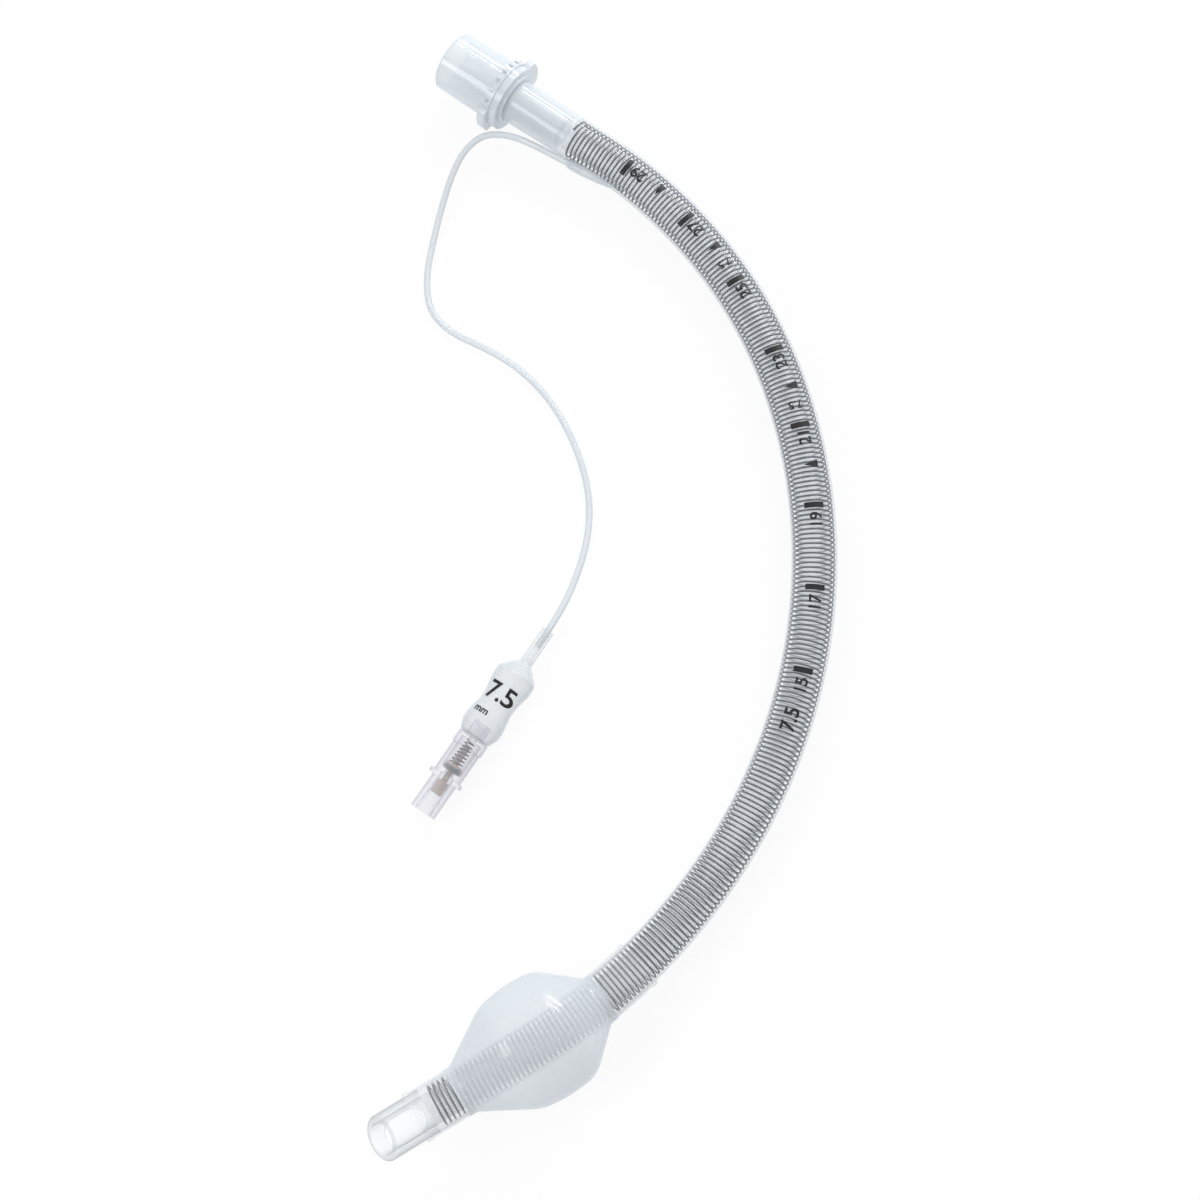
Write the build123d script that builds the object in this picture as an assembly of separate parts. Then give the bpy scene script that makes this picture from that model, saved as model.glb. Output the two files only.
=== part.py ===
from build123d import *

import math
import os

# Reinforced cuffed endotracheal tube, 7.5 mm bore. Millimetres, +Z up, the table is Z = 0.
# The tube's centre line lies in one plane, the tube plane, which leans a little on the table,
# because the cuff is thicker than the connector's flange, and the flange than the tube.
# Stations, named _s, are distances along the centre line from the open end of the cone.

# Tube
tube_bore = 7.5
tube_od = 10.7
tube_length = 343.4
straight_length = 45.1
bend_radii = (120.0, 135.0, 137.1)
bend_turns = (37.0, 55.0, 21.0)
start_heading = -35.3
start_x = -40.72
start_y = 131.22
steepest_lean = 0.3
lumen_d = 0.5
lumen_skin = 0.15

# Reinforcing coil, drawn as closed turns
coil_pitch = 1.1765
coil_wire = 0.4
coil_wire_depth = 0.45
coil_start_s = 37.6
coil_end_s = 326.4
coil_turn_sides = 8

# Connector: 15 mm cone, notched rim and plate with an ear each, collar and nipple
cone_end_d = 15.1
cone_taper = 1 / 40
cone_length = 15.0
cone_bore = 12.6
cone_edge = 0.4
rim_d = 17.6
rim_width = 2.0
rim_notches = 20
rim_notch_width = 1.0
rim_notch_depth = 0.9
plate_d = 16.8
plate_width = 1.9
ear_reach = 10.1
ear_breadth = 9.0
ear_corner = 1.6
collar_d = 13.6
collar_width = 0.7
nipple_d = 8.6
nipple_bore = 6.9
nipple_length = 14.8
sleeve_od = 11.3

# Cuff: a thin balloon between two collars that grip the tube
cuff_d = 28.4
cuff_film = 0.25
cuff_collar_wall = 0.4
cuff_start_s = 271.4
cuff_neck_s = 283.5
cuff_widest_s = 300.5
cuff_far_neck_s = 319.5
cuff_end_s = 331.6
cuff_crown = -0.03
cuff_root = 0.08
cuff_root_length = 1.5
cuff_lip = 0.3
cuff_port_s = 292.0

# Tip: bevel that faces up, and the eye in the wall below it
shaft_end_s = 328.0
bevel_angle = 58.0
tip_rounding = 0.5
eye_length = 9.8
eye_width = 6.2
eye_s = 334.4

# Inflation line. The route is the centre line of a soft tube that lies on the table.
line_d = 1.6
line_route = [
    (-8.82, 101.32, 7.5),
    (-14.62, 104.62, 8),
    (-20.32, 107.92, 8.4),
    (-26.02, 110.62, 8.7),
    (-32.52, 111.22, 8.9),
    (-37.62, 108.12, 7.3),
    (-41.02, 102.82, 5.1),
    (-43.72, 95.42, 3),
    (-45.92, 87.12, 1.5),
    (-47.72, 77.62, 0.8),
    (-46.82, 68.32, 0.8),
    (-41.32, 62.32, 0.8),
    (-33.12, 58.32, 0.8),
    (-24.12, 52.72, 0.8),
    (-15.72, 43.52, 0.8),
    (-9.72, 32.12, 0.8),
    (-6.32, 20.12, 0.85),
    (-6.42, 9.12, 1.3),
    (-9.12, -1.48, 2.5),
    (-13.08, -11.56, 5.05),
    (-17.84, -18.61, 5.05),
]
line_bead_tail = 12.0
line_bead_mouth = 3.6
line_bead_d = 2.6

# Pilot balloon and valve, on one level axis. Their stations, named _t, start at the neck's mouth.
balloon_axis_angle = -124.0
balloon_neck_x = -15.32
balloon_neck_y = -14.88
balloon_d = 10.1
balloon_waist_d = 8.5
balloon_film = 0.4
balloon_neck_d = 3.1
balloon_neck_length = 9.2
balloon_bulge_t = 14.6
balloon_waist_t = 21.4
balloon_low_bulge_t = 26.4
balloon_length = 30.6

insert_d = 4.6
insert_bore = 3.0
insert_top_t = 26.6
insert_collar_d = 7.9
insert_collar_width = 2.9
insert_seat_bore = 2.0
insert_seat_width = 0.8

body_d = 7.3
body_bore = 5.4
body_length = 8.0
seat_bore = 2.5
seat_width = 1.2
lug_d = 8.9
lug_width = 1.0
lug_flat = 6.9
luer_od = 6.5
luer_mouth_d = 4.3
luer_taper = 0.06
luer_length = 8.9

plunger_stem_d = 1.5
plunger_disc_d = 4.4
plunger_disc_width = 0.7
plunger_guide_length = 6.2
plunger_head_d = 3.0
plunger_head_length = 3.4
plunger_head_gap = 1.7
plunger_travel = 1.5
seal_d = 4.6
seal_width = 1.0
spring_wire = 0.35
spring_small_d = 2.5
spring_large_d = 3.6
spring_turns = 7
spring_gap = 0.05

os.makedirs("parts", exist_ok=True)

# Centre line of the tube
tube_runs = [(straight_length, None)]
for bend_radius, bend_turn in zip(bend_radii, bend_turns):
    tube_runs.append((bend_radius * math.radians(bend_turn), bend_radius))
tube_runs.append((tube_length, None))


def station(s):
    """Point and heading of the centre line at station s, in the tube plane."""
    x, y = start_x, start_y
    heading = math.radians(start_heading)
    for length, radius in tube_runs:
        step = min(s, length)
        if radius:
            next_heading = heading - step / radius
            x += radius * (math.sin(heading) - math.sin(next_heading))
            y += radius * (math.cos(next_heading) - math.cos(heading))
            heading = next_heading
        else:
            x += step * math.cos(heading)
            y += step * math.sin(heading)
        s -= step
        if s <= 0:
            break
    return x, y, heading


def station_plane(s):
    """Plane across the tube at s: local X to the outside of the bend, local Y up, Z along the tube."""
    x, y, heading = station(s)
    ahead = (math.cos(heading), math.sin(heading), 0)
    outward = (-math.sin(heading), math.cos(heading), 0)
    return Plane(origin=(x, y, 0), x_dir=outward, z_dir=ahead)


def along_tube(section, first_s, last_s):
    """Solid that a section, drawn about the origin, leaves along the centre line."""
    solid = None
    run_start = 0.0
    for length, radius in tube_runs:
        begin = max(first_s, run_start)
        end = min(last_s, run_start + length)
        run_start += length
        if end - begin < 0.001:
            continue
        plane = station_plane(begin)
        face = plane * section
        if radius:
            centre = plane.origin - plane.x_dir * radius
            turn = math.degrees((end - begin) / radius)
            piece = revolve(face, axis=Axis(centre, (0, 0, -1)), revolution_arc=turn)
        else:
            piece = extrude(face, amount=end - begin, dir=plane.z_dir)
        solid = piece if solid is None else solid + piece
    return solid


def turned(profile, plane):
    """Solid of revolution about a plane's Z axis. The profile is a list of (radius, height)."""
    face = make_face(Polyline([(r, 0, z) for r, z in profile], close=True))
    return plane * revolve(face, axis=Axis.Z)


def write(shape, node):
    """One STEP file for each node."""
    shape.label = node
    export_step(shape, "parts/" + node + ".step")


# How the tube rests: on the cuff, on the flange's rim and on the low side of its first bend.
def resting_slopes():
    """Slopes of the tube plane along X and Y, and the height of its origin."""
    cuff_x, cuff_y, _ = station(cuff_widest_s)
    rim_x, rim_y, _ = station(cone_length + rim_width)
    begin = station_plane(straight_length)
    bend = begin.origin - begin.x_dir * bend_radii[0]
    chord = math.hypot(rim_x - cuff_x, rim_y - cuff_y)
    along = ((rim_x - cuff_x) / chord, (rim_y - cuff_y) / chord)
    across = (along[1], -along[0])
    slope_along = (rim_d / 2 - cuff_d / 2) / chord
    reach_along = (bend.X - cuff_x) * along[0] + (bend.Y - cuff_y) * along[1]
    reach_across = (bend.X - cuff_x) * across[0] + (bend.Y - cuff_y) * across[1]
    steep, flat = -steepest_lean, 0.0
    for _ in range(50):
        slope_across = (steep + flat) / 2
        fall = bend_radii[0] * math.hypot(slope_along, slope_across)
        bend_height = cuff_d / 2 + slope_along * reach_along + slope_across * reach_across - fall
        if bend_height < tube_od / 2:
            steep = slope_across
        else:
            flat = slope_across
    slope_x = slope_along * along[0] + slope_across * across[0]
    slope_y = slope_along * along[1] + slope_across * across[1]
    return slope_x, slope_y, cuff_d / 2 - slope_x * cuff_x - slope_y * cuff_y


slope_x, slope_y, rest_height = resting_slopes()
print("resting slopes", round(slope_x, 4), round(slope_y, 4), "height", round(rest_height, 3))
rest_x_dir = Vector(math.sqrt(1 - slope_x**2), 0, slope_x)
level = math.sqrt(1 - slope_x**2 - slope_y**2)
rest_normal = Vector(-slope_x * level, -slope_y, level * rest_x_dir.X).normalized()
rest_plane = Plane(origin=(0, 0, rest_height), x_dir=rest_x_dir, z_dir=rest_normal)


# Connector
rim_s = cone_length
plate_s = rim_s + rim_width
collar_s = plate_s + plate_width
nipple_s = collar_s + collar_width
nipple_end_s = nipple_s + nipple_length
cone_base_d = cone_end_d + cone_length * cone_taper
throat_s = cone_length - 2.0


def make_ear(side, first_s, width):
    outline = (Pos(side * ear_reach / 2, 0) * Rectangle(ear_reach, ear_breadth)) & Circle(ear_reach)
    ear = extrude(Plane.XY.offset(first_s) * (outline - Circle(cone_base_d / 2)), width)
    corners = ear.edges().filter_by(Axis.Z).group_by(SortBy.DISTANCE)[-1]
    return fillet(corners, ear_corner)


def make_connector():
    plane = station_plane(0)
    body = turned(
        [
            (cone_bore / 2, 0),
            (cone_end_d / 2 - cone_edge, 0),
            (cone_end_d / 2, cone_edge),
            (cone_base_d / 2, rim_s),
            (rim_d / 2, rim_s),
            (rim_d / 2, plate_s),
            (plate_d / 2, plate_s),
            (plate_d / 2, collar_s),
            (collar_d / 2, collar_s),
            (collar_d / 2, nipple_s),
            (nipple_d / 2, nipple_s),
            (nipple_d / 2, nipple_end_s),
            (nipple_bore / 2, nipple_end_s),
            (nipple_bore / 2, nipple_s),
            (cone_bore / 2, throat_s),
        ],
        plane,
    )
    body += plane * make_ear(-1, rim_s, rim_width)
    body += plane * make_ear(1, plate_s, plate_width)
    # Notches in the rim's edge, towards the cone, except at the ear
    notch = Box(rim_notch_depth * 2, rim_notch_width, rim_width - 0.6, align=(Align.CENTER, Align.CENTER, Align.MIN))
    angles = [(index + 0.5) * 360 / rim_notches for index in range(rim_notches)]
    notches = [Rot(0, 0, angle) * Pos(rim_d / 2, 0, rim_s) * notch for angle in angles if abs(angle - 180) > 35]
    return body - plane * Compound(children=notches)


# Tube wall: a sleeve over the nipple, then the shaft with the inflation lumen in its wall
lumen_offset = tube_bore / 2 + lumen_skin + lumen_d / 2
route = [Vector(*point) for point in line_route]
line_start = route[0]
line_out = (route[1] - route[0]).normalized()


def in_tube_plane(shape):
    return shape.moved(rest_plane.location.inverse())


def make_tube_wall():
    sleeve = turned(
        [
            (nipple_d / 2, nipple_s),
            (sleeve_od / 2, nipple_s),
            (tube_od / 2, coil_start_s),
            (tube_bore / 2, coil_start_s),
            (tube_bore / 2, nipple_end_s),
            (nipple_d / 2, nipple_end_s),
        ],
        station_plane(0),
    )
    section = Circle(tube_od / 2) - Circle(tube_bore / 2) - Pos(-lumen_offset, 0) * Circle(lumen_d / 2)
    wall = sleeve + along_tube(section, coil_start_s, cuff_port_s)
    wall += along_tube(Circle(tube_od / 2) - Circle(tube_bore / 2), cuff_port_s, shaft_end_s)
    # Port from the lumen into the cuff
    port = Pos(-lumen_offset, 0, 0) * Rot(0, -90, 0) * Cylinder(
        0.4 * lumen_d, tube_od / 2, align=(Align.CENTER, Align.CENTER, Align.MIN)
    )
    wall -= station_plane(cuff_port_s - 2 * lumen_d) * port
    # Bead that holds the end of the inflation line on the inside of the bend
    bead_r = line_bead_d / 2
    bead = turned(
        [
            (0, -line_bead_tail),
            (0.25 * bead_r, -line_bead_tail),
            (0.8 * bead_r, -0.5 * line_bead_tail),
            (bead_r, -0.15 * line_bead_tail),
            (bead_r, 0.6 * line_bead_mouth),
            (0.75 * bead_r, line_bead_mouth),
            (0, line_bead_mouth),
        ],
        Plane(origin=line_start, z_dir=line_out),
    )
    wall += in_tube_plane(bead)
    bore = Plane(origin=line_start, z_dir=line_out) * Cylinder(
        line_d / 2, 3 * line_bead_mouth, align=(Align.CENTER, Align.CENTER, Align.MIN)
    )
    wall -= in_tube_plane(bore)
    # The bead stays outside the bore of the tube
    return wall - along_tube(Circle(tube_bore / 2), coil_start_s - 2, coil_start_s + 2 * line_bead_tail)


# Reinforcing coil, in the middle of the wall
def make_coil():
    mean_r = (tube_bore + tube_od) / 4 + lumen_d / 4
    inner_r = mean_r - coil_wire_depth / 2
    outer_r = mean_r + coil_wire_depth / 2
    half = coil_wire / 2
    flat = Plane.XY
    low = flat.offset(-half) * RegularPolygon(inner_r, coil_turn_sides)
    middle = flat * RegularPolygon(outer_r, coil_turn_sides)
    high = flat.offset(half) * RegularPolygon(inner_r, coil_turn_sides)
    wire = loft([low, middle], ruled=True) + loft([middle, high], ruled=True)
    turn = wire - extrude(low, 2 * half)
    count = int((coil_end_s - coil_start_s) / coil_pitch)
    return Compound(
        children=[station_plane(coil_start_s + coil_pitch * index).location * turn.solid() for index in range(1, count)]
    )


# Clear end of the tube, with its bevel and eye
def make_tip():
    bevel_length = tube_od / math.tan(math.radians(bevel_angle))
    tip = along_tube(Circle(tube_od / 2) - Circle(tube_bore / 2), shaft_end_s, tube_length)
    end = station_plane(tube_length)
    keep = Pos(0, -tube_od / 2, 0) * Rot(bevel_angle - 90, 0, 0) * Box(
        4 * tube_od, 6 * tube_od, tube_od * 6, align=(Align.CENTER, Align.CENTER, Align.MIN)
    )
    tip -= end * keep
    rim = tip.faces().sort_by(Axis(end.origin, end.z_dir))[-1]
    tip = fillet(rim.edges().sort_by(SortBy.LENGTH)[-1:], tip_rounding)
    eye = SlotOverall(eye_length, eye_width)
    at_eye = station_plane(eye_s)
    eye_plane = Plane(origin=at_eye.origin, x_dir=at_eye.z_dir, z_dir=(0, 0, -1))
    tip -= extrude(eye_plane * eye, tube_od)
    print("bevel length", round(bevel_length, 2))
    return tip


# Cuff
def make_cuff():
    tube_r = tube_od / 2
    collar_r = tube_r + cuff_collar_wall
    collar = Circle(collar_r) - Circle(tube_r)
    near = along_tube(collar, cuff_start_s, cuff_neck_s)
    far = along_tube(collar, cuff_far_neck_s, cuff_end_s)
    lip = Circle(collar_r + cuff_lip) - Circle(tube_r)
    near += along_tube(lip, cuff_start_s, cuff_start_s + 1.2)
    far += along_tube(lip, cuff_end_s - 1.4, cuff_end_s)
    # The balloon is turned about the chord between its two necks
    neck = station_plane(cuff_neck_s)
    far_neck = station_plane(cuff_far_neck_s)
    chord = far_neck.origin - neck.origin
    span = chord.length
    widest = cuff_widest_s - cuff_neck_s
    axis_plane = Plane(origin=neck.origin, x_dir=(0, 0, 1), z_dir=chord)
    rise = cuff_d / 2

    def shell(inset):
        root = collar_r + cuff_root - inset
        crest = rise + cuff_crown - inset
        top, bottom = span + cuff_root_length, -cuff_root_length
        outline = FilletPolyline(
            (root, 0, bottom),
            (root, 0, 0.02 * widest),
            (crest - 0.5, 0, 0.54 * widest),
            (crest, 0, widest),
            (crest - 0.9, 0, widest + 0.33 * (span - widest)),
            (root, 0, widest + 0.985 * (span - widest)),
            (root, 0, top),
            radius=(2.5, 9.0, 28.0, 12.0, 3.0),
        )
        closing = Polyline((root, 0, top), (0, 0, top), (0, 0, bottom), (root, 0, bottom))
        return axis_plane * revolve(make_face(outline + closing), axis=Axis.Z)

    balloon = shell(0) - shell(cuff_film)
    balloon -= along_tube(Circle(tube_r), cuff_start_s, cuff_end_s)
    return near + far + balloon


# Inflation line
def make_line():
    radii = []
    for before, here, after in zip(route[:-2], route[1:-1], route[2:]):
        turn = (here - before).get_angle(after - here)
        shorter = min((here - before).length, (after - here).length)
        radii.append(0.45 * shorter / math.tan(math.radians(turn / 2)))
    print("line arc radii", [round(radius, 1) for radius in radii])
    path = FilletPolyline(*line_route, radius=radii)
    section = Plane(origin=line_start, z_dir=line_out) * Circle(line_d / 2)
    line = sweep(section, path=path)
    expected = math.pi * line_d**2 / 4 * path.length
    print("line length", round(path.length, 1), "volume ratio", round(line.volume / expected, 5))
    return line


# Pilot balloon and valve
axis_turn = math.radians(balloon_axis_angle)
axis_dir = Vector(math.cos(axis_turn), math.sin(axis_turn), 0)
side_dir = Vector(-math.sin(axis_turn), math.cos(axis_turn), 0) * -1
valve_plane = Plane(
    origin=(balloon_neck_x, balloon_neck_y, balloon_d / 2), x_dir=side_dir, z_dir=axis_dir
)
body_t = balloon_length + insert_collar_width
seat_t = body_t + body_length - seat_width - 0.4
seat_end_t = seat_t + seat_width
luer_t = body_t + body_length
luer_end_t = luer_t + lug_width + luer_length
spring_seat_t = balloon_length + insert_seat_width
seal_t = seat_t - seal_width
disc_t = seal_t - plunger_disc_width


def make_balloon():
    neck_r = balloon_neck_d / 2
    wide = balloon_d / 2
    waist = balloon_waist_d / 2
    end_r = insert_d / 2

    def outline(inset, first_t):
        neck = neck_r - inset
        end_t = balloon_length - inset
        film_edge = FilletPolyline(
            (neck, 0, first_t),
            (neck, 0, balloon_neck_length + inset),
            (wide - inset, 0, balloon_bulge_t - 1.8),
            (wide - inset, 0, balloon_bulge_t + 0.8),
            (waist - inset, 0, balloon_waist_t - 1.5),
            (waist - inset, 0, balloon_waist_t + 0.3),
            (wide - inset - 0.1, 0, balloon_low_bulge_t - 0.6),
            (wide - inset - 0.1, 0, balloon_low_bulge_t + 1.4),
            (end_r + 1.5, 0, end_t),
            (0, 0, end_t),
            radius=(0.8, 1.8 - inset, 4.0, 6.0, 6.0, 4.0, 1.7 - inset, 1.4 - inset),
        )
        closing = Polyline((0, 0, end_t), (0, 0, first_t), (neck, 0, first_t))
        return revolve(make_face(film_edge + closing), axis=Axis.Z)

    film = outline(0, 0) - outline(balloon_film, balloon_neck_length - 1.0)
    film -= Cylinder(line_d / 2, balloon_neck_length, align=(Align.CENTER, Align.CENTER, Align.MIN))
    film -= Pos(0, 0, insert_top_t) * Cylinder(
        insert_d / 2, balloon_length, align=(Align.CENTER, Align.CENTER, Align.MIN)
    )
    return valve_plane * film


def make_insert():
    return turned(
        [
            (insert_bore / 2, insert_top_t),
            (insert_d / 2, insert_top_t),
            (insert_d / 2, balloon_length),
            (insert_collar_d / 2, balloon_length),
            (insert_collar_d / 2, body_t),
            (body_bore / 2, body_t),
            (body_bore / 2, spring_seat_t),
            (insert_seat_bore / 2, spring_seat_t),
            (insert_seat_bore / 2, balloon_length),
            (insert_bore / 2, balloon_length),
        ],
        valve_plane,
    )


def make_valve_body():
    mouth = luer_mouth_d / 2
    narrow = mouth - luer_taper * (luer_end_t - seat_end_t) / 2
    body = turned(
        [
            (body_bore / 2, body_t),
            (body_d / 2, body_t),
            (body_d / 2, luer_t),
            (lug_d / 2, luer_t),
            (lug_d / 2, luer_t + lug_width),
            (luer_od / 2, luer_t + lug_width),
            (luer_od / 2, luer_end_t),
            (mouth, luer_end_t),
            (narrow, seat_end_t),
            (seat_bore / 2, seat_end_t),
            (seat_bore / 2, seat_t),
            (body_bore / 2, seat_t),
        ],
        valve_plane,
    )
    # Two flats leave the lugs standing at the sides
    for side in (-1, 1):
        flat = Pos(0, side * (lug_flat / 2 + lug_d), luer_t + lug_width / 2) * Box(
            2 * lug_d, 2 * lug_d, lug_width
        )
        body -= valve_plane * flat
    return body


def make_plunger():
    head_t = seat_end_t + plunger_head_gap
    stem_r = plunger_stem_d / 2
    return turned(
        [
            (0, disc_t - plunger_guide_length + plunger_disc_width),
            (stem_r, disc_t - plunger_guide_length + plunger_disc_width),
            (stem_r, disc_t),
            (plunger_disc_d / 2, disc_t),
            (plunger_disc_d / 2, seal_t),
            (stem_r, seal_t),
            (stem_r, head_t),
            (plunger_head_d / 2, head_t),
            (plunger_head_d / 2, head_t + plunger_head_length),
            (0, head_t + plunger_head_length),
        ],
        valve_plane,
    )


def make_seal():
    return turned(
        [
            (plunger_stem_d / 2, seal_t),
            (seal_d / 2, seal_t),
            (seal_d / 2, seal_t + seal_width),
            (plunger_stem_d / 2, seal_t + seal_width),
        ],
        valve_plane,
    )


def make_spring():
    height = disc_t - spring_seat_t - spring_wire - spring_gap
    cone = math.degrees(math.atan((spring_large_d - spring_small_d) / 2 / height))
    centre_r = (spring_small_d - spring_wire) / 2
    path = Helix(height / spring_turns, height, centre_r, cone_angle=cone)
    start = path @ 0
    section = Plane(origin=start, z_dir=path % 0) * RegularPolygon(spring_wire / 2, 6)
    spring = sweep(section, path=path, is_frenet=True)
    return valve_plane * Pos(0, 0, spring_seat_t + spring_wire / 2) * spring


write(rest_plane * make_connector(), "connector")
write(rest_plane * make_tube_wall(), "tube_wall")
write(rest_plane * make_coil(), "reinforcing_coil")
write(rest_plane * make_tip(), "bevel_tip")
write(rest_plane * make_cuff(), "cuff")
write(make_line(), "inflation_line")
write(make_balloon(), "pilot_balloon")
write(make_insert(), "valve_insert")
write(make_valve_body(), "valve_body")
write(make_plunger(), "valve_plunger")
write(make_seal(), "valve_seal")
write(make_spring(), "valve_spring")
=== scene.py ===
import math

import bmesh
import bpy
from mathutils import Matrix, Vector
from mathutils.bvhtree import BVHTree


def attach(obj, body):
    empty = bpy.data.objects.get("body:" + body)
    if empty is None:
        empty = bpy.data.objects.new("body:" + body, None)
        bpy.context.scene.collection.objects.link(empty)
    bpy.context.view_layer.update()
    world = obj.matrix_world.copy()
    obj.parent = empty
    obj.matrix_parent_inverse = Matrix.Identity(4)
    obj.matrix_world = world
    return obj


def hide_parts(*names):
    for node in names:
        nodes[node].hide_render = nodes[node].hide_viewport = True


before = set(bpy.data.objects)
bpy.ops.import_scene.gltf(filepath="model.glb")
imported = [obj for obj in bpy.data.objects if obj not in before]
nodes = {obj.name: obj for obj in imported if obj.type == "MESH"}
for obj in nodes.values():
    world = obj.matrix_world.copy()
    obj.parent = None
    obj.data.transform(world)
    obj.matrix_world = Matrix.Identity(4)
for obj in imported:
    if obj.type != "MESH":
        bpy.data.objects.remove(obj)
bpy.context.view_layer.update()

MM = 0.001

# Sizes in millimetres, the same as in the part
TUBE_R = 5.35
BORE_R = 3.75
TUBE_LENGTH = 343.4
RUNS = [(45.1, None), (120.0, 37.0), (135.0, 55.0), (137.1, 21.0)]
START = (-40.72, 131.22, -35.3)
COIL_START = 37.6
COIL_END = 326.4
NIPPLE_S = 19.6
SLEEVE_R = 5.65
SHAFT_END = 328.0
COLLAR_R = 5.75
CUFF_R = 14.2
CUFF_START, CUFF_NECK, CUFF_WIDEST, CUFF_FAR, CUFF_END = 271.4, 283.5, 300.5, 319.5, 331.6
CUFF_CROWN = -0.03
CUFF_ROOT = 0.08
CUFF_ROOT_LENGTH = 1.5
CUFF_LIP = 0.3

# The resting tube's own axes
REST_X = Vector((0.996645, 0.0, -0.081841))
REST_Y = Vector((-0.002229, 0.999629, -0.027139))
REST_Z = Vector((0.08181, 0.02723, 0.996276))
REST_HEIGHT = 9.8975

# Camera
camera_data = bpy.data.cameras.new("camera")
camera_data.lens = 76.14
camera_data.sensor_width = 36.0
camera_data.clip_start = 0.01
camera_data.clip_end = 20.0
camera = bpy.data.objects.new("camera", camera_data)
bpy.context.scene.collection.objects.link(camera)
right = Vector((0.99303, 0.0098, -0.11748))
up = Vector((0.0209, 0.96613, 0.25721))
back = Vector((0.11602, -0.25787, 0.95919))
turn = Matrix((right, up, back)).transposed()
camera.matrix_world = Matrix.Translation(Vector((66.08, -161.28, 577.0)) * MM) @ turn.to_4x4()
bpy.context.scene.camera = camera


# Centre line
def station(s):
    """Point, heading and outward direction of the tube's centre line, in millimetres."""
    x, y, heading = START[0], START[1], math.radians(START[2])
    for size, angle in RUNS + [(1000.0, None)]:
        length = size if angle is None else size * math.radians(angle)
        step = min(s, length)
        if angle is None:
            x += step * math.cos(heading)
            y += step * math.sin(heading)
        else:
            after = heading - step / size
            x += size * (math.sin(heading) - math.sin(after))
            y += size * (math.cos(after) - math.cos(heading))
            heading = after
        s -= step
        if s <= 0:
            break
    ahead = REST_X * math.cos(heading) + REST_Y * math.sin(heading)
    outward = REST_X * -math.sin(heading) + REST_Y * math.cos(heading)
    point = REST_X * x + REST_Y * y + Vector((0, 0, REST_HEIGHT))
    return point, ahead, outward


def on_tube(s, angle, radius):
    """Point at radius from the centre line. The angle is 0 on top and 90 degrees on the outside of the bend."""
    point, ahead, outward = station(s)
    a = math.radians(angle)
    return (point + (REST_Z * math.cos(a) + outward * math.sin(a)) * radius) * MM


# Materials
def math_node(tree, operation, *sources):
    """Result of a math node. Each source is another node's output or a number."""
    node = tree.nodes.new("ShaderNodeMath")
    node.operation = operation
    for socket, source in zip(node.inputs, sources):
        if isinstance(source, float):
            socket.default_value = source
        else:
            tree.links.new(source, socket)
    return node.outputs["Value"]


def material(name, colour, roughness, alpha=1.0, edge_alpha=None, edge_tint_and_shade=None, power=2.0, metallic=0.0,
             bump=0.0, bump_scale=400.0, mottle=0.0, mottle_scale=60.0, coat=0.0, ior=1.45):
    """Mottled plastic or metal. With edge_alpha it goes from alpha, face on, to edge_alpha at its edges. Given an
    edge colour, its colour also goes to that colour at its edges: partly the plastic's deeper tint along a longer
    path, partly painted shade for the dark reflections that such edges show.
    """
    m = bpy.data.materials.new(name)
    m.use_nodes = True
    tree = m.node_tree
    shader = tree.nodes["Principled BSDF"]
    shader.inputs["Roughness"].default_value = roughness
    shader.inputs["Metallic"].default_value = metallic
    shader.inputs["IOR"].default_value = ior
    shader.inputs["Coat Weight"].default_value = coat
    shader.inputs["Coat Roughness"].default_value = 0.08
    place = tree.nodes.new("ShaderNodeTexCoord").outputs["Object"]
    noise = tree.nodes.new("ShaderNodeTexNoise")
    noise.inputs["Scale"].default_value = mottle_scale
    noise.inputs["Detail"].default_value = 3.0
    tree.links.new(place, noise.inputs["Vector"])
    shade = tree.nodes.new("ShaderNodeMix")
    shade.data_type = "RGBA"
    shade.inputs["A"].default_value = (*[c * (1 - mottle) for c in colour], 1)
    shade.inputs["B"].default_value = (*colour, 1)
    tree.links.new(noise.outputs["Fac"], shade.inputs["Factor"])
    base = shade.outputs["Result"]
    if edge_alpha is not None:
        weight = tree.nodes.new("ShaderNodeLayerWeight")
        weight.inputs["Blend"].default_value = 0.5
        edge = math_node(tree, "POWER", weight.outputs["Facing"], power)
        opacity = tree.nodes.new("ShaderNodeMapRange")
        opacity.inputs["To Min"].default_value = alpha
        opacity.inputs["To Max"].default_value = edge_alpha
        tree.links.new(edge, opacity.inputs["Value"])
        tree.links.new(opacity.outputs["Result"], shader.inputs["Alpha"])
        # Colour towards the edges: partly the plastic's deeper tint along a longer path, partly painted shade for the
        # dark reflections at grazing edges
        if edge_tint_and_shade is not None:
            edge_shade_mix = tree.nodes.new("ShaderNodeMix")
            edge_shade_mix.data_type = "RGBA"
            edge_shade_mix.inputs["B"].default_value = (*edge_tint_and_shade, 1)
            tree.links.new(base, edge_shade_mix.inputs["A"])
            tree.links.new(edge, edge_shade_mix.inputs["Factor"])
            base = edge_shade_mix.outputs["Result"]
    else:
        shader.inputs["Alpha"].default_value = alpha
    tree.links.new(base, shader.inputs["Base Color"])
    if bump:
        fine = tree.nodes.new("ShaderNodeTexNoise")
        fine.inputs["Scale"].default_value = bump_scale
        fine.inputs["Detail"].default_value = 4.0
        tree.links.new(place, fine.inputs["Vector"])
        relief = tree.nodes.new("ShaderNodeBump")
        relief.inputs["Strength"].default_value = bump
        relief.inputs["Distance"].default_value = 0.0002
        tree.links.new(fine.outputs["Fac"], relief.inputs["Height"])
        tree.links.new(relief.outputs["Normal"], shader.inputs["Normal"])
    return m


# The edge colours below are partly each plastic's deeper tint along a longer path, partly painted shade for the dark
# reflections at grazing edges. The bevelled tip's near-black edge colour is painted shade.
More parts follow.
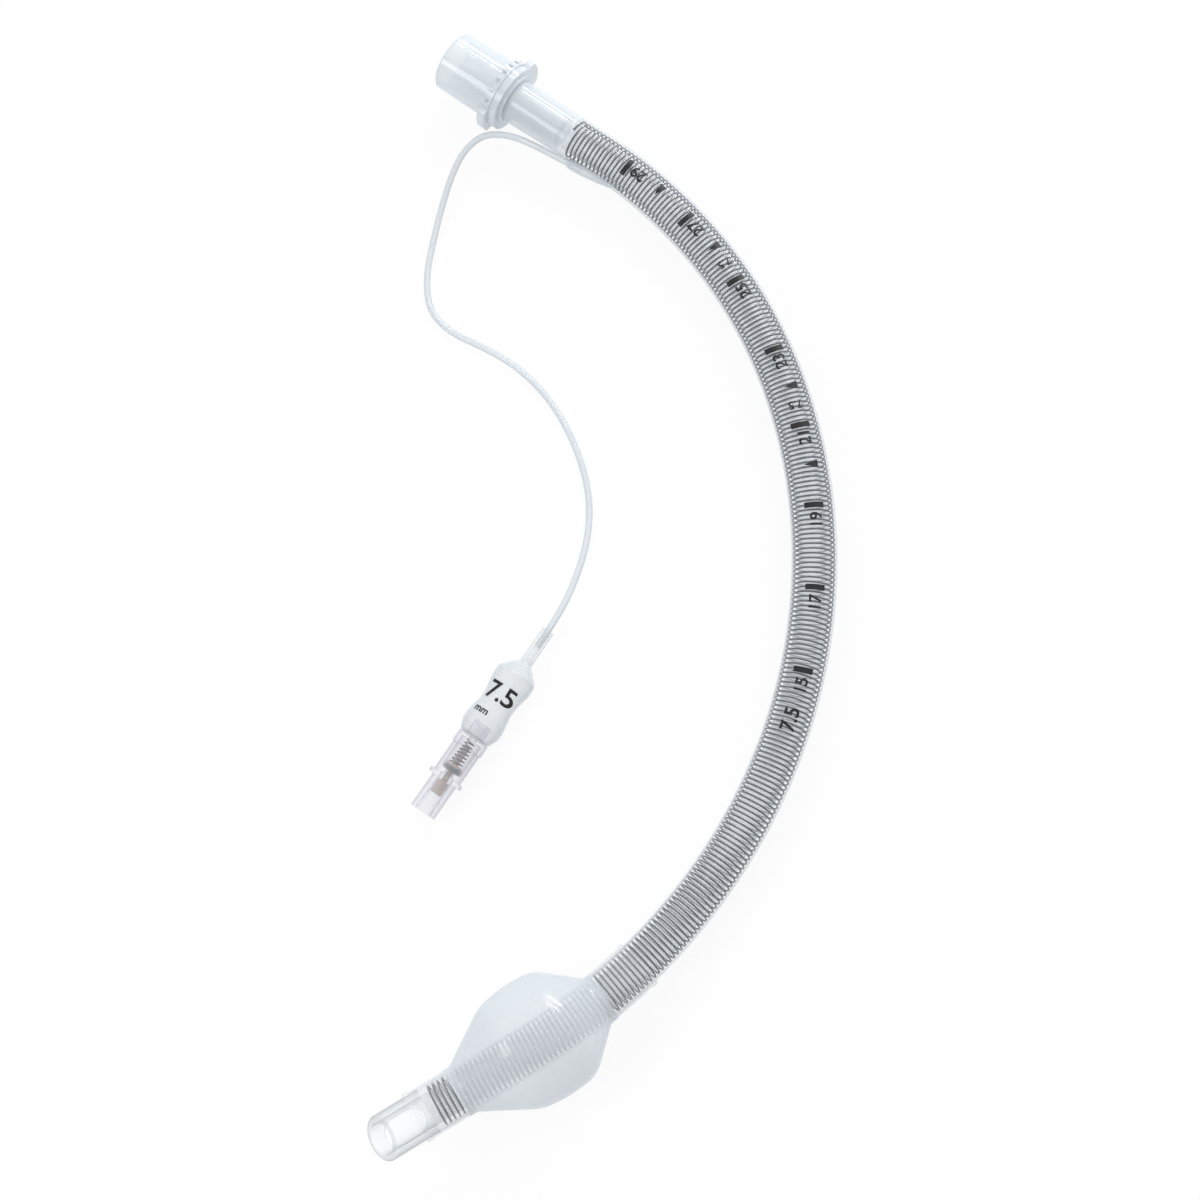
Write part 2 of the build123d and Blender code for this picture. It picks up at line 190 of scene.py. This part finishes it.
connector_plastic = material("connector_plastic", (0.75, 0.80, 0.835), 0.14, alpha=0.56, edge_alpha=0.92, power=1.6,
                             mottle=0.03, edge_tint_and_shade=(0.60, 0.69, 0.77), bump=0.015, bump_scale=700, coat=0.6)
clear_tube = material("clear_tube", (0.86, 0.90, 0.94), 0.1, alpha=0.07, edge_alpha=0.8, power=2.2, mottle=0.03,
                      edge_tint_and_shade=(0.50, 0.60, 0.70), bump=0.01, bump_scale=400, coat=0.5)
sleeve_milk = material("sleeve_milk", (0.77, 0.82, 0.86), 0.12, alpha=0.34, edge_alpha=0.9, power=1.8, mottle=0.03,
                       edge_tint_and_shade=(0.66, 0.75, 0.83), bump=0.01, bump_scale=400, coat=0.6)
bore_milk = material("bore_milk", (0.88, 0.92, 0.96), 0.3, alpha=0.42, edge_alpha=0.55, power=3.0, mottle=0.04,
                     mottle_scale=90, edge_tint_and_shade=(0.74, 0.81, 0.88), bump=0.01, bump_scale=400)
steel_wire = material("steel_wire", (0.10, 0.115, 0.135), 0.3, metallic=0.5, mottle=0.3, mottle_scale=900,
                      bump=0.03, bump_scale=3000)
tip_clear = material("tip_clear", (0.84, 0.89, 0.93), 0.07, alpha=0.10, edge_alpha=0.95, power=1.4, mottle=0.03,
                     edge_tint_and_shade=(0.07, 0.11, 0.15), bump=0.01, bump_scale=400, coat=0.6)
cuff_film = material("cuff_film", (0.78, 0.835, 0.88), 0.24, alpha=0.57, edge_alpha=0.9, power=2.0, mottle=0.05,
                     mottle_scale=45, edge_tint_and_shade=(0.58, 0.66, 0.73), bump=0.01, bump_scale=150, coat=0.4)
collar_film = material("collar_film", (0.86, 0.90, 0.94), 0.15, alpha=0.12, edge_alpha=0.65, power=3.0, mottle=0.05,
                       edge_tint_and_shade=(0.55, 0.64, 0.73), bump=0.02, bump_scale=300, coat=0.4)
line_plastic = material("line_plastic", (0.74, 0.79, 0.83), 0.14, alpha=0.65, edge_alpha=0.95, power=1.3, mottle=0.02,
                        mottle_scale=120, edge_tint_and_shade=(0.46, 0.53, 0.60), coat=0.4)
balloon_film = material("balloon_film", (0.82, 0.86, 0.89), 0.18, alpha=0.22, edge_alpha=0.9, power=1.8, mottle=0.04,
                        mottle_scale=160, edge_tint_and_shade=(0.50, 0.57, 0.63), bump=0.015, bump_scale=400, coat=0.5)
valve_clear = material("valve_clear", (0.82, 0.82, 0.90), 0.06, alpha=0.14, edge_alpha=0.92, power=1.5, mottle=0.04,
                       edge_tint_and_shade=(0.30, 0.28, 0.44), bump=0.008, bump_scale=500, coat=0.7, ior=1.5)
plunger_plastic = material("plunger_plastic", (0.50, 0.42, 0.35), 0.4, mottle=0.1, mottle_scale=600, bump=0.03,
                           bump_scale=2000)
seal_rubber = material("seal_rubber", (0.10, 0.11, 0.13), 0.55, mottle=0.2, mottle_scale=900, bump=0.05,
                       bump_scale=2500)
spring_steel = material("spring_steel", (0.14, 0.13, 0.14), 0.3, metallic=0.6, mottle=0.25, mottle_scale=1500,
                        bump=0.03, bump_scale=4000)
lumen_pale = material("lumen_pale", (0.88, 0.91, 0.93), 0.2, alpha=0.75, mottle=0.05, mottle_scale=400)
print_ink = material("print_ink", (0.008, 0.008, 0.010), 0.45, mottle=0.3, mottle_scale=1200, bump=0.03,
                     bump_scale=2500)


def dress(node, finish):
    """Gives one of the part's own meshes its finish."""
    mesh = nodes[node].data
    mesh.materials.clear()
    mesh.materials.append(finish)
    for polygon in mesh.polygons:
        polygon.material_index = 0


dress("connector", connector_plastic)
dress("bevel_tip", tip_clear)
dress("pilot_balloon", balloon_film)
dress("valve_insert", valve_clear)
dress("valve_body", valve_clear)
dress("valve_plunger", plunger_plastic)
dress("valve_seal", seal_rubber)
dress("valve_spring", spring_steel)


# Meshes of the tube
def new_object(name, vertices, faces, finish):
    mesh = bpy.data.meshes.new(name)
    mesh.from_pydata(vertices, [], faces)
    mesh.update()
    for polygon in mesh.polygons:
        polygon.use_smooth = True
    mesh.materials.append(finish)
    o = bpy.data.objects.new(name, mesh)
    bpy.context.scene.collection.objects.link(o)
    return o


def ring_faces(rings, sides):
    """Faces between rings that follow each other in a list of points."""
    faces = []
    for i in range(rings - 1):
        for j in range(sides):
            k = (j + 1) % sides
            faces.append((i * sides + j, i * sides + k, (i + 1) * sides + k, (i + 1) * sides + j))
    return faces


def tube_rings(stations, sides):
    """Rings about the centre line from a list of (station, radius)."""
    vertices = []
    for s, radius in stations:
        point, ahead, outward = station(s)
        for j in range(sides):
            a = 2 * math.pi * j / sides
            vertices.append((point + (REST_Z * math.cos(a) + outward * math.sin(a)) * radius) * MM)
    return vertices


def tube_object(name, stations, sides, finish):
    return new_object(name, tube_rings(stations, sides), ring_faces(len(stations), sides), finish)


# Inflation line: the same route as the part's, in metres
line_route = [
    (-0.00882, 0.10132, 0.0075),
    (-0.01462, 0.10462, 0.0080),
    (-0.02032, 0.10792, 0.0084),
    (-0.02602, 0.11062, 0.0087),
    (-0.03252, 0.11122, 0.0089),
    (-0.03762, 0.10812, 0.0073),
    (-0.04102, 0.10282, 0.0051),
    (-0.04372, 0.09542, 0.0030),
    (-0.04592, 0.08712, 0.0015),
    (-0.04772, 0.07762, 0.0008),
    (-0.04682, 0.06832, 0.0008),
    (-0.04132, 0.06232, 0.0008),
    (-0.03312, 0.05832, 0.0008),
    (-0.02412, 0.05272, 0.0008),
    (-0.01572, 0.04352, 0.0008),
    (-0.00972, 0.03212, 0.0008),
    (-0.00632, 0.02012, 0.00085),
    (-0.00642, 0.00912, 0.0013),
    (-0.00912, -0.00148, 0.0025),
    (-0.01308, -0.01156, 0.00505),
    (-0.01784, -0.01861, 0.00505),
]
line_curve = bpy.data.curves.new("inflation_tubing", "CURVE")
line_curve.dimensions = "3D"
line_curve.bevel_depth = 0.0008
line_curve.bevel_resolution = 5
line_curve.resolution_u = 24
line_curve.use_fill_caps = True
spline = line_curve.splines.new("NURBS")
spline.points.add(len(line_route) - 1)
for target, place in zip(spline.points, line_route):
    target.co = (*place, 1.0)
spline.order_u = 3
spline.use_endpoint_u = True
line_curve.materials.append(line_plastic)
line = bpy.data.objects.new("inflation_tubing", line_curve)
bpy.context.scene.collection.objects.link(line)
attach(line, "root")
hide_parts("inflation_line")

# Tube wall: the sleeve over the nipple, then the clear shaft
WALL_SIDES = 72
SLEEVE_BORE_R = 4.4
SLEEVE_EDGE = 0.15
SLEEVE_STEPS = 14
SHAFT_STEPS = 240
sleeve_end = COIL_START - 0.6
sleeve_stations = [
    (NIPPLE_S, SLEEVE_BORE_R),
    (NIPPLE_S, SLEEVE_R - SLEEVE_EDGE),
    (NIPPLE_S + SLEEVE_EDGE, SLEEVE_R),
]
for i in range(1, SLEEVE_STEPS + 1):
    share = i / SLEEVE_STEPS
    sleeve_stations.append((NIPPLE_S + (sleeve_end - NIPPLE_S) * share, SLEEVE_R + (TUBE_R - SLEEVE_R) * share))
wall_stations = list(sleeve_stations)
for i in range(1, SHAFT_STEPS + 1):
    wall_stations.append((sleeve_end + (SHAFT_END - sleeve_end) * i / SHAFT_STEPS, TUBE_R))
shell = tube_object("tube_shell", wall_stations, WALL_SIDES, sleeve_milk)
shell.data.materials.append(clear_tube)
for polygon in shell.data.polygons:
    if min(polygon.vertices) // WALL_SIDES >= len(sleeve_stations) - 1:
        polygon.material_index = 1
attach(shell, "root")
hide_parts("tube_wall")

# Inner face of the bore, from just past the nipple's end, seen through the wall
BORE_SIDES = 48
BORE_STEPS = 200
bore_start = NIPPLE_S + 15.2
bore_stations = []
for i in range(BORE_STEPS + 1):
    bore_stations.append((bore_start + i * (SHAFT_END - bore_start) / BORE_STEPS, BORE_R))
bore = tube_object("tube_bore", bore_stations, BORE_SIDES, bore_milk)
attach(bore, "root")

# Reinforcing coil: one helix of round wire, thicker in its end turns
WIRE_R = 0.215
COIL_R = 4.68
PITCH = 1.1765
TURN_STEPS = 26
WIRE_SIDES = 6
END_TURN_SCALE = 1.25
count = int((COIL_END - COIL_START) / PITCH * TURN_STEPS)
vertices = []
for i in range(count + 1):
    s = COIL_START + (COIL_END - COIL_START) * i / count
    a = 2 * math.pi * i / TURN_STEPS
    point, ahead, outward = station(s)
    radial = REST_Z * math.cos(a) + outward * math.sin(a)
    end_turn = i < TURN_STEPS or i > count - 2 * TURN_STEPS
    thick = WIRE_R * END_TURN_SCALE if end_turn else WIRE_R
    for j in range(WIRE_SIDES):
        b = 2 * math.pi * j / WIRE_SIDES
        vertices.append((point + radial * (COIL_R + thick * math.cos(b)) + ahead * thick * math.sin(b)) * MM)
faces = ring_faces(count + 1, WIRE_SIDES)
faces.append(tuple(range(WIRE_SIDES)))
faces.append(tuple(count * WIRE_SIDES + j for j in reversed(range(WIRE_SIDES))))
coil = new_object("coil_wire", vertices, faces, steel_wire)
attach(coil, "root")
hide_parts("reinforcing_coil")

# Cuff: the film, turned about the straight line between its two necks
near_point = station(CUFF_NECK)[0]
far_point = station(CUFF_FAR)[0]
chord = far_point - near_point
span = chord.length
chord_dir = chord.normalized()
chord_up = (REST_Z - chord_dir * REST_Z.dot(chord_dir)).normalized()
chord_out = chord_up.cross(chord_dir)
if chord_out.dot(station(CUFF_WIDEST)[2]) < 0:
    chord_out = -chord_out
widest = CUFF_WIDEST - CUFF_NECK
after_widest = span - widest
root_r = COLLAR_R + CUFF_ROOT
crest_r = CUFF_R + CUFF_CROWN
corners = [
    (-CUFF_ROOT_LENGTH, root_r, 0.0),
    (0.02 * widest, root_r, 2.5),
    (0.54 * widest, crest_r - 0.5, 9.0),
    (widest, crest_r, 28.0),
    (widest + 0.33 * after_widest, crest_r - 0.9, 12.0),
    (widest + 0.985 * after_widest, root_r, 3.0),
    (span + CUFF_ROOT_LENGTH, root_r, 0.0),
]


def rounded(corners, samples):
    """Outline whose corners are arcs: each corner is (along, distance out, arc radius)."""
    out = [corners[0][:2]]
    for before, here, after in zip(corners[:-2], corners[1:-1], corners[2:]):
        corner, arc_r = Vector(here[:2]), here[2]
        to_before = (Vector(before[:2]) - corner).normalized()
        to_after = (Vector(after[:2]) - corner).normalized()
        half = to_before.angle(to_after) / 2
        centre = corner + (to_before + to_after).normalized() * (arc_r / math.sin(half))
        first = corner + to_before * (arc_r / math.tan(half)) - centre
        last = corner + to_after * (arc_r / math.tan(half)) - centre
        for k in range(samples + 1):
            arm = first.lerp(last, k / samples).normalized() * arc_r
            out.append(tuple(centre + arm))
    out.append(corners[-1][:2])
    return out


CUFF_SIDES = 120
ARC_SAMPLES = 10
FOLD = 0.03  # depth of the film's creases, in millimetres
film = rounded(corners, ARC_SAMPLES)
vertices = []
for along, radius in film:
    centre = near_point + chord_dir * along
    share = along / span
    bulge = math.sin(math.pi * min(1, max(0, share)))
    for j in range(CUFF_SIDES):
        a = 2 * math.pi * j / CUFF_SIDES
        creases = FOLD * math.sin(9 * a + 2.0) * (1 - bulge) ** 2 * bulge ** 0.5
        fold = creases + FOLD * math.sin(4 * a + 6 * share) * bulge
        vertices.append((centre + (chord_up * math.cos(a) + chord_out * math.sin(a)) * (radius + fold)) * MM)
cuff = new_object("cuff_film", vertices, ring_faces(len(film), CUFF_SIDES), cuff_film)
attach(cuff, "root")
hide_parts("cuff")

# Collars of the cuff on the tube, each with a lip at its outer end
COLLAR_STEPS = 12
near_stations = [
    (CUFF_START, TUBE_R),
    (CUFF_START, COLLAR_R + 0.2),
    (CUFF_START + 0.3, COLLAR_R + CUFF_LIP),
    (CUFF_START + 1.0, COLLAR_R + CUFF_LIP),
    (CUFF_START + 1.4, COLLAR_R),
]
near_length = CUFF_NECK - CUFF_START - 1.3
for i in range(1, COLLAR_STEPS + 1):
    near_stations.append((CUFF_START + 1.4 + near_length * i / COLLAR_STEPS, COLLAR_R))
far_length = CUFF_END - 1.5 - CUFF_FAR
far_stations = []
for i in range(COLLAR_STEPS + 1):
    far_stations.append((CUFF_FAR - 0.1 + far_length * i / COLLAR_STEPS, COLLAR_R))
far_stations += [
    (CUFF_END - 1.3, COLLAR_R + CUFF_LIP),
    (CUFF_END - 0.3, COLLAR_R + CUFF_LIP),
    (CUFF_END, COLLAR_R + 0.1),
    (CUFF_END, TUBE_R),
]
for name, stations in (("cuff_collar_near", near_stations), ("cuff_collar_far", far_stations)):
    collar = tube_object(name, stations, WALL_SIDES, collar_film)
    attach(collar, "root")

# Weld of the inflation line on the inside of the bend. Its profile is (along the line, radius).
WELD_SIDES = 28
weld_from = Vector(line_route[0])
weld_dir = (Vector(line_route[1]) - weld_from).normalized()
weld_side = weld_dir.cross(Vector((0, 0, 1))).normalized()
weld_up = weld_side.cross(weld_dir)
weld_profile = [(-12.0, 0.2), (-9.0, 0.7), (-6.0, 1.04), (-1.8, 1.3), (1.6, 1.28), (3.0, 1.1), (3.6, 0.84)]
vertices = []
for along, radius in weld_profile:
    for j in range(WELD_SIDES):
        a = 2 * math.pi * j / WELD_SIDES
        arm = (weld_up * math.cos(a) + weld_side * math.sin(a)) * radius
        vertices.append(weld_from + (weld_dir * along + arm) * MM)
weld = new_object("line_weld", vertices, ring_faces(len(weld_profile), WELD_SIDES), line_plastic)
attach(weld, "root")

# Lumen of the inflation line in the wall. The part has it inside the coil. Here it lies at the coil's outer side,
# so that it shows as the pale line on the inside of the bend.
LUMEN_OFFSET = 5.0
LUMEN_R = 0.24
LUMEN_START, LUMEN_END = 52, 312
LUMEN_SIDES = 8
LUMEN_STEPS = 200
vertices = []
for i in range(LUMEN_STEPS + 1):
    point, ahead, outward = station(LUMEN_START + (LUMEN_END - LUMEN_START) * i / LUMEN_STEPS)
    centre = point - outward * LUMEN_OFFSET
    for j in range(LUMEN_SIDES):
        a = 2 * math.pi * j / LUMEN_SIDES
        vertices.append((centre + (REST_Z * math.cos(a) + outward * math.sin(a)) * LUMEN_R) * MM)
lumen = new_object("wall_lumen", vertices, ring_faces(LUMEN_STEPS + 1, LUMEN_SIDES), lumen_pale)
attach(lumen, "root")


# Print: depth marks, and numbers that give the depth and the size of the bore
def text_faces(body, height, weight=0.028):
    """Flat mesh of a text, centred: a list of points and faces."""
    curve = bpy.data.curves.new("words", "FONT")
    curve.body = body
    curve.size = height / 0.7
    curve.align_x = "CENTER"
    curve.align_y = "CENTER"
    curve.resolution_u = 4
    curve.offset = weight * height
    o = bpy.data.objects.new("words", curve)
    bpy.context.scene.collection.objects.link(o)
    bpy.context.view_layer.update()
    mesh = bpy.data.meshes.new_from_object(o.evaluated_get(bpy.context.evaluated_depsgraph_get()))
    points = [tuple(v.co[:2]) for v in mesh.vertices]
    faces = [tuple(p.vertices) for p in mesh.polygons]
    bpy.data.objects.remove(o)
    bpy.data.curves.remove(curve)
    bpy.data.meshes.remove(mesh)
    low = [min(p[n] for p in points) for n in (0, 1)]
    high = [max(p[n] for p in points) for n in (0, 1)]
    middle = [(low[n] + high[n]) / 2 for n in (0, 1)]
    return [(p[0] - middle[0], p[1] - middle[1]) for p in points], faces


def one_face(points):
    return points, [tuple(range(len(points)))]


def fine(points, faces, size):
    """The same flat mesh with its edges halved until they are near size, so that it can be wrapped."""
    bm = bmesh.new()
    made = [bm.verts.new((p[0], p[1], 0)) for p in points]
    for f in faces:
        try:
            bm.faces.new([made[k] for k in f])
        except ValueError:  # the same face a second time
            pass
    bmesh.ops.triangulate(bm, faces=bm.faces)
    for _ in range(5):
        long_edges = [e for e in bm.edges if e.calc_length() > size]
        if not long_edges:
            break
        bmesh.ops.subdivide_edges(bm, edges=long_edges, cuts=1)
        bmesh.ops.triangulate(bm, faces=bm.faces)
    bm.verts.index_update()
    out = [tuple(v.co[:2]) for v in bm.verts], [tuple(v.index for v in f.verts) for f in bm.faces]
    bm.free()
    return out


PRINT_R = TUBE_R + 0.03
PRINT_PIECE = 0.45
MARK_SHIFT = 0.9
BAR = [(-0.7, -2.3), (0.7, -2.3), (0.7, 2.3), (-0.7, 2.3)]
ARROW = [(-1.0, -1.5), (1.0, -1.5), (0.0, 1.9)]
ink_points, ink_faces = [], []


def print_on_tube(points, faces, s, angle, turned=0.0):
    """Wraps a flat figure on the tube. Its x runs towards the connector and its y to the inside of the bend."""
    points, faces = fine(points, faces, PRINT_PIECE)
    first = len(ink_points)
    cosine, sine = math.cos(math.radians(turned)), math.sin(math.radians(turned))
    for x, y in points:
        x, y = cosine * x - sine * y, sine * x + cosine * y
        ink_points.append(on_tube(s - x, angle - math.degrees(y / PRINT_R), PRINT_R))
    ink_faces.extend(tuple(first + k for k in f) for f in faces)


def mark_s(number):
    """Station of a depth mark, whose number is in centimetres from the tip."""
    return TUBE_LENGTH + MARK_SHIFT - 10 * number


def mark_angle(number):
    """The print runs along the top up to 21, and then drifts to the inside of the bend."""
    return min(1.5, 1.5 - (number - 21) * 0.85)


for number in range(15, 30, 2):
    print_on_tube(*one_face(BAR), mark_s(number), mark_angle(number))
    print_on_tube(*text_faces(str(number), 2.8), mark_s(number) + 3.4, mark_angle(number) + 3)
for number in (28, 26, 22, 20):
    print_on_tube(*one_face(ARROW), mark_s(number), mark_angle(number) + 8)
for number in (25, 21):
    print_on_tube(*text_faces("7.5", 2.0), mark_s(number) - 5.1, mark_angle(number) + 2, 90)
print_on_tube(*text_faces("7.5", 3.4), mark_s(15) + 12.0, 1.5)
ink = new_object("tube_print", ink_points, ink_faces, print_ink)
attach(ink, "root")

# Print on the pilot balloon, dropped on its film from above
BALLOON_START = Vector((-15.32, -14.88, 5.05))
BALLOON_ANGLE = math.radians(-124.0)
BALLOON_PIECE = 0.4
DOWN = Vector((0, 0, -1))
balloon_mesh = nodes["pilot_balloon"].data
balloon_tree = BVHTree.FromPolygons([v.co.copy() for v in balloon_mesh.vertices],
                                    [tuple(p.vertices) for p in balloon_mesh.polygons])
balloon_dir = Vector((math.cos(BALLOON_ANGLE), math.sin(BALLOON_ANGLE), 0))
balloon_side = Vector((-math.sin(BALLOON_ANGLE), math.cos(BALLOON_ANGLE), 0))
balloon_points, balloon_faces = [], []


def print_on_balloon(body, height, t, weight, aside):
    """Lays a text on the balloon, t along its axis from the neck's mouth and aside from the axis."""
    points, faces = fine(*text_faces(body, height, weight), BALLOON_PIECE)
    first = len(balloon_points)
    for x, y in points:
        place = (BALLOON_START + balloon_dir * (t - y) + balloon_side * (x + aside)) * MM
        hit = balloon_tree.ray_cast(place - DOWN * 0.02, DOWN)[0]
        if hit is None:
            hit = place - DOWN * 0.004
        balloon_points.append(hit - DOWN * 0.00004)
    balloon_faces.extend(tuple(first + k for k in f) for f in faces)


print_on_balloon("7.5", 4.3, 18.8, 0.022, 0.3)
print_on_balloon("mm", 1.7, 24.4, 0.04, -1.3)
words = new_object("balloon_print", balloon_points, balloon_faces, print_ink)
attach(words, "root")

# Floor: white where the camera sees it, directly, in a gloss or through a clear piece, and matte for other rays
FLOOR_REACH = 9  # metres
FLOOR_GLOW = 0.9
floor_mesh = bpy.data.meshes.new("floor")
floor_corners = [(-FLOOR_REACH, -FLOOR_REACH, 0), (FLOOR_REACH, -FLOOR_REACH, 0),
                 (FLOOR_REACH, FLOOR_REACH, 0), (-FLOOR_REACH, FLOOR_REACH, 0)]
floor_mesh.from_pydata(floor_corners, [], [(0, 1, 2, 3)])
floor = bpy.data.objects.new("floor", floor_mesh)
bpy.context.scene.collection.objects.link(floor)
floor_material = bpy.data.materials.new("floor_white")
floor_material.use_nodes = True
floor_tree = floor_material.node_tree
floor_tree.nodes.clear()
output = floor_tree.nodes.new("ShaderNodeOutputMaterial")
matte = floor_tree.nodes.new("ShaderNodeBsdfDiffuse")
matte.inputs["Color"].default_value = (0.9, 0.9, 0.9, 1)
glow = floor_tree.nodes.new("ShaderNodeEmission")
glow.inputs["Color"].default_value = (1, 1, 1, 1)
glow.inputs["Strength"].default_value = 1.0
rays = floor_tree.nodes.new("ShaderNodeLightPath").outputs
indirect = math_node(floor_tree, "MAXIMUM", rays["Is Glossy Ray"], rays["Is Transmission Ray"])
seen = math_node(floor_tree, "MAXIMUM", rays["Is Camera Ray"], indirect)
blend = floor_tree.nodes.new("ShaderNodeMixShader")
floor_tree.links.new(math_node(floor_tree, "MULTIPLY", seen, FLOOR_GLOW), blend.inputs["Fac"])
floor_tree.links.new(matte.outputs["BSDF"], blend.inputs[1])
floor_tree.links.new(glow.outputs["Emission"], blend.inputs[2])
floor_tree.links.new(blend.outputs["Shader"], output.inputs["Surface"])
floor.data.materials.append(floor_material)

# World: white where the camera sees it, and dimmer as a light
WORLD_LIGHT = 0.77
world = bpy.data.worlds.new("world")
world.use_nodes = True
bpy.context.scene.world = world
world_tree = world.node_tree
background = world_tree.nodes["Background"]
background.inputs["Color"].default_value = (1, 1, 1, 1)
rays = world_tree.nodes.new("ShaderNodeLightPath").outputs
strength = world_tree.nodes.new("ShaderNodeMapRange")
strength.inputs["To Min"].default_value = WORLD_LIGHT
strength.inputs["To Max"].default_value = 1.0
seen = math_node(world_tree, "MAXIMUM", rays["Is Camera Ray"], rays["Is Transmission Ray"])
world_tree.links.new(seen, strength.inputs["Value"])
world_tree.links.new(strength.outputs["Result"], background.inputs["Strength"])


# Lights
def area(name, place, target, size, power):
    light = bpy.data.lights.new(name, "AREA")
    light.shape = "RECTANGLE"
    light.size, light.size_y = size
    light.energy = power
    o = bpy.data.objects.new(name, light)
    bpy.context.scene.collection.objects.link(o)
    o.location = place
    o.rotation_euler = (Vector(target) - Vector(place)).to_track_quat("-Z", "Y").to_euler()


area("key", (0.35, 0.80, 0.32), (0, 0, 0), (0.5, 0.06), 3.0)
area("streak", (0.30, 0.62, 0.55), (0, 0, 0), (0.5, 0.04), 1.6)
area("fill", (-0.6, -0.3, 0.8), (0, 0, 0), (0.4, 0.4), 2.5)

bpy.context.scene.view_settings.view_transform = "Standard"
